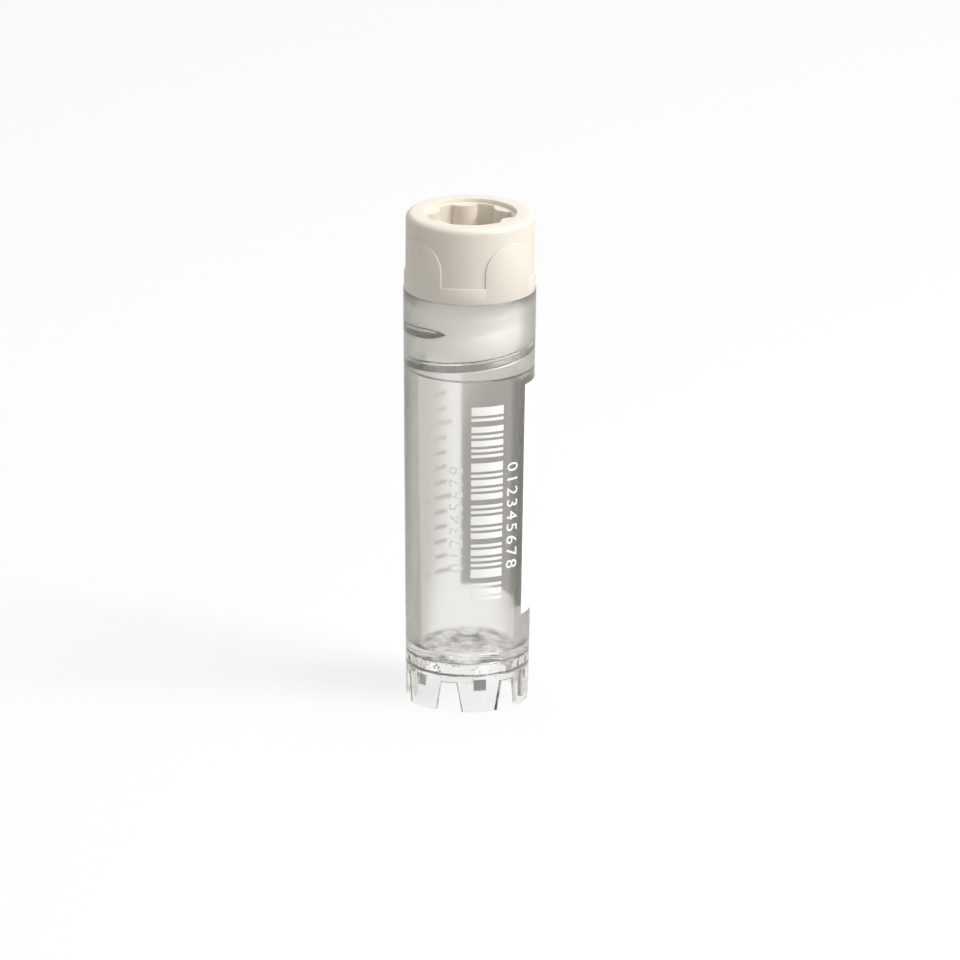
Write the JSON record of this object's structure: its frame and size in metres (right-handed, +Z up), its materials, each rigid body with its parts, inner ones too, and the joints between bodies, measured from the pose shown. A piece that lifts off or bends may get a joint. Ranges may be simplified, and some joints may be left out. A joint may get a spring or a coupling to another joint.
{
  "type": "cryogenic vial",
  "caption": "Clear screw-capped sample vial for deep-frozen storage, with an internal-thread cap, a driver socket on top and a lugged crown to stand on.",
  "frame": {"origin": "on the tube's axis, in the plane of the crown's feet", "axes": "+Z up along the tube's axis, towards the cap; -Y is the front, where the stack of bars is, just right of the middle; the writing patch is on +X"},
  "size_m": [0.0124, 0.0124, 0.0474],
  "materials": {
    "clear_plastic": "clear, slightly milky, glossy",
    "cap_plastic": "opaque ivory, satin",
    "seal_rubber": "pale, soft, satin",
    "white_ink": "opaque white print, matt"
  },
  "bodies": {
    "vial": {"tube": "clear_plastic", "writing_patch": "white_ink", "barcode_bars": "white_ink", "graduation_marks": "white_ink"},
    "seal": {"sealing_ring": "seal_rubber"},
    "cap": {"screw_cap": "cap_plastic"}
  },
  "joints": [
    {"name": "cap_lift", "type": "slide", "parent": "vial", "child": "seal", "axis": [0, 0, 1], "range_m": [0, 0.0064]},
    {"name": "cap_turn", "type": "hinge", "parent": "seal", "child": "cap", "pos_m": [0, 0, 0.0401], "axis": [0, 0, 1], "range_deg": [0, 720]}
  ],
  "couplings": [
    {"joint": "cap_turn", "follows": "cap_lift", "rad_per_m": 1963.5}
  ]
}
